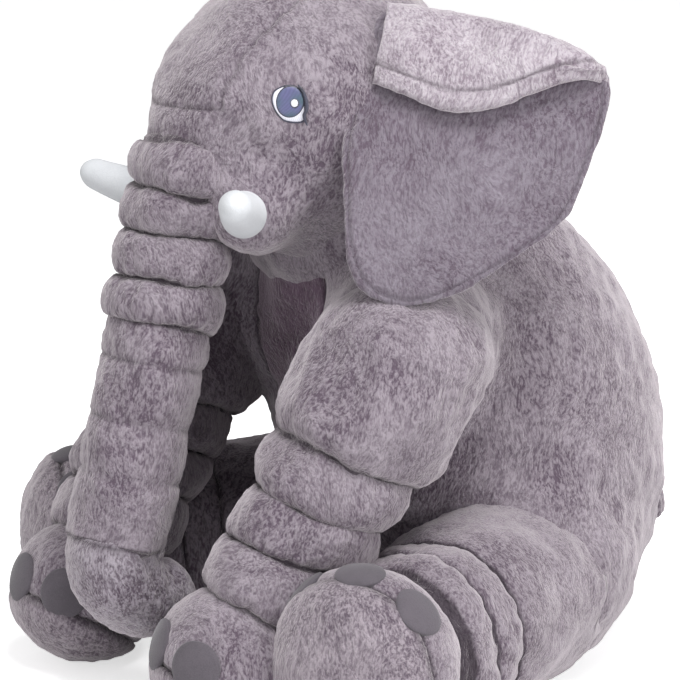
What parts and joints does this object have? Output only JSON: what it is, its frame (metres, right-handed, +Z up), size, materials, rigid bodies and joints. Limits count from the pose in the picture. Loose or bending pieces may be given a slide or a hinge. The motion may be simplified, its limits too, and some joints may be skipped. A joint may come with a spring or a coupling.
{
  "type": "stuffed elephant",
  "caption": "Large sitting plush elephant with a gathered trunk that curls at its tip, folded ears, blunt tusks and four soft legs with rounded feet.",
  "frame": {"origin": "centre of the flat seat panel, on the floor", "axes": "+Z up, the elephant faces -Y, its left side is +X"},
  "size_m": [0.5596, 0.6376, 0.604],
  "materials": {
    "plush": "short-pile plush, mauve grey",
    "belly_plush": "short-pile plush, darker purple grey",
    "filling": "polyester fibre filling",
    "nail_cloth": "smooth grey cloth",
    "white_cloth": "smooth white short-pile cloth",
    "eye_thread": "embroidery thread, blue iris on a white ground",
    "seat_cloth": "plush, flattened under the seat"
  },
  "bodies": {
    "torso": {"torso_left_panel": "plush", "torso_right_panel": "plush", "belly_panel": "belly_plush", "seat_panel": "seat_cloth", "torso_stuffing": "filling"},
    "neck": {"neck_band": "plush", "neck_stuffing": "filling"},
    "head": {"head_left_panel": "plush", "head_right_panel": "plush", "forehead_panel": "plush", "head_stuffing": "filling", "left_eye": "eye_thread", "right_eye": "eye_thread", "left_tusk": "white_cloth", "right_tusk": "white_cloth", "trunk_ring_1": "plush", "trunk_ring_1_stuffing": "filling"},
    "trunk_ring_2": {"trunk_ring_2": "plush", "trunk_ring_2_stuffing": "filling"},
    "trunk_ring_3": {"trunk_ring_3": "plush", "trunk_ring_3_stuffing": "filling"},
    "trunk_ring_4": {"trunk_ring_4": "plush", "trunk_ring_4_stuffing": "filling"},
    "trunk_tube": {"trunk_tube": "plush", "trunk_tube_stuffing": "filling"},
    "trunk_tip": {"trunk_tip": "plush", "trunk_tip_stuffing": "filling"},
    "left_ear": {"left_ear_front": "plush", "left_ear_back": "plush"},
    "left_upper_foreleg": {"left_upper_foreleg": "plush", "left_upper_foreleg_stuffing": "filling"},
    "left_lower_foreleg": {"left_foreleg_rings": "plush", "left_foreleg_rings_stuffing": "filling"},
    "left_forefoot": {"left_forefoot": "plush", "left_forefoot_sole": "plush", "left_forefoot_nails": "nail_cloth", "left_forefoot_stuffing": "filling"},
    "left_hindleg": {"left_hindleg": "plush", "left_hindleg_stuffing": "filling"},
    "left_hindfoot": {"left_hindfoot": "plush", "left_hindfoot_sole": "plush", "left_hindfoot_nails": "nail_cloth", "left_hindfoot_stuffing": "filling"},
    "right_ear": {"right_ear_front": "plush", "right_ear_back": "plush"},
    "right_upper_foreleg": {"right_upper_foreleg": "plush", "right_upper_foreleg_stuffing": "filling"},
    "right_lower_foreleg": {"right_foreleg_rings": "plush", "right_foreleg_rings_stuffing": "filling"},
    "right_forefoot": {"right_forefoot": "plush", "right_forefoot_sole": "plush", "right_forefoot_nails": "nail_cloth", "right_forefoot_stuffing": "filling"},
    "right_hindleg": {"right_hindleg": "plush", "right_hindleg_stuffing": "filling"},
    "right_hindfoot": {"right_hindfoot": "plush", "right_hindfoot_sole": "plush", "right_hindfoot_nails": "nail_cloth", "right_hindfoot_stuffing": "filling"},
    "tail": {"tail": "plush"}
  },
  "joints": [
    {"name": "head_turn", "type": "hinge", "parent": "torso", "child": "neck", "pos_m": [0, -0.15, 0.4], "axis": [0, 0, 1], "range_deg": [-6, 6], "stiffness_Nm_per_rad": 6},
    {"name": "head_nod", "type": "hinge", "parent": "neck", "child": "head", "pos_m": [0, -0.15, 0.4], "axis": [1, 0, 0], "range_deg": [-8, 3], "stiffness_Nm_per_rad": 8},
    {"name": "trunk_bend_1", "type": "hinge", "parent": "head", "child": "trunk_ring_2", "pos_m": [0, -0.30735, 0.41853], "axis": [1, 0, 0], "range_deg": [-10, 2], "stiffness_Nm_per_rad": 0.8},
    {"name": "trunk_bend_2", "type": "hinge", "parent": "trunk_ring_2", "child": "trunk_ring_3", "pos_m": [0, -0.31606, 0.3836], "axis": [1, 0, 0], "range_deg": [-10, 2], "stiffness_Nm_per_rad": 0.8},
    {"name": "trunk_bend_3", "type": "hinge", "parent": "trunk_ring_3", "child": "trunk_ring_4", "pos_m": [0, -0.32477, 0.34867], "axis": [1, 0, 0], "range_deg": [-10, 2], "stiffness_Nm_per_rad": 0.8},
    {"name": "trunk_tube_swing", "type": "hinge", "parent": "trunk_ring_4", "child": "trunk_tube", "pos_m": [0, -0.33348, 0.31374], "axis": [1, 0, 0], "range_deg": [-12, 5], "stiffness_Nm_per_rad": 0.6},
    {"name": "trunk_tip_curl", "type": "hinge", "parent": "trunk_tube", "child": "trunk_tip", "pos_m": [0, -0.37703, 0.13909], "axis": [1, 0, 0], "range_deg": [-12, 12], "stiffness_Nm_per_rad": 0.2},
    {"name": "left_ear_flap", "type": "hinge", "parent": "head", "child": "left_ear", "pos_m": [0.1055, -0.1985, 0.51], "axis": [0.1551, -0.4942, -0.8554], "range_deg": [0, 22], "stiffness_Nm_per_rad": 0.3},
    {"name": "left_shoulder_swing", "type": "hinge", "parent": "torso", "child": "left_upper_foreleg", "pos_m": [0.139, -0.19, 0.3], "axis": [1, 0, 0], "range_deg": [-30, 0], "stiffness_Nm_per_rad": 3},
    {"name": "left_knee_bend", "type": "hinge", "parent": "left_upper_foreleg", "child": "left_lower_foreleg", "pos_m": [0.1314, -0.24185, 0.21808], "axis": [1, 0, 0], "range_deg": [-14, 0], "stiffness_Nm_per_rad": 2},
    {"name": "left_ankle_bend", "type": "hinge", "parent": "left_lower_foreleg", "child": "left_forefoot", "pos_m": [0.12083, -0.31392, 0.10421], "axis": [1, 0, 0], "range_deg": [-10, 5], "stiffness_Nm_per_rad": 1},
    {"name": "left_hip_splay", "type": "hinge", "parent": "torso", "child": "left_hindleg", "pos_m": [0.122, -0.05, 0.08], "axis": [0, 0, 1], "range_deg": [0, 15], "stiffness_Nm_per_rad": 4},
    {"name": "left_hind_ankle_bend", "type": "hinge", "parent": "left_hindleg", "child": "left_hindfoot", "pos_m": [0.20186, -0.23956, 0.07193], "axis": [0.9216, 0.3882, 0], "range_deg": [0, 3], "stiffness_Nm_per_rad": 2},
    {"name": "right_ear_flap", "type": "hinge", "parent": "head", "child": "right_ear", "pos_m": [-0.1055, -0.1985, 0.51], "axis": [0.1551, 0.4942, 0.8554], "range_deg": [0, 22], "stiffness_Nm_per_rad": 0.3},
    {"name": "right_shoulder_swing", "type": "hinge", "parent": "torso", "child": "right_upper_foreleg", "pos_m": [-0.139, -0.19, 0.3], "axis": [1, 0, 0], "range_deg": [-30, 0], "stiffness_Nm_per_rad": 3},
    {"name": "right_knee_bend", "type": "hinge", "parent": "right_upper_foreleg", "child": "right_lower_foreleg", "pos_m": [-0.1314, -0.24185, 0.21808], "axis": [1, 0, 0], "range_deg": [-14, 0], "stiffness_Nm_per_rad": 2},
    {"name": "right_ankle_bend", "type": "hinge", "parent": "right_lower_foreleg", "child": "right_forefoot", "pos_m": [-0.12083, -0.31392, 0.10421], "axis": [1, 0, 0], "range_deg": [-10, 5], "stiffness_Nm_per_rad": 1},
    {"name": "right_hip_splay", "type": "hinge", "parent": "torso", "child": "right_hindleg", "pos_m": [-0.122, -0.05, 0.08], "axis": [0, 0, -1], "range_deg": [0, 15], "stiffness_Nm_per_rad": 4},
    {"name": "right_hind_ankle_bend", "type": "hinge", "parent": "right_hindleg", "child": "right_hindfoot", "pos_m": [-0.20186, -0.23956, 0.07193], "axis": [0.9216, -0.3882, 0], "range_deg": [0, 3], "stiffness_Nm_per_rad": 2},
    {"name": "tail_swing", "type": "hinge", "parent": "torso", "child": "tail", "pos_m": [0, 0.176, 0.15], "axis": [1, 0, 0], "range_deg": [0, 25], "stiffness_Nm_per_rad": 0.05}
  ],
  "couplings": [
    {"joint": "trunk_bend_2", "follows": "trunk_bend_1", "ratio": 1},
    {"joint": "trunk_bend_3", "follows": "trunk_bend_1", "ratio": 1}
  ]
}
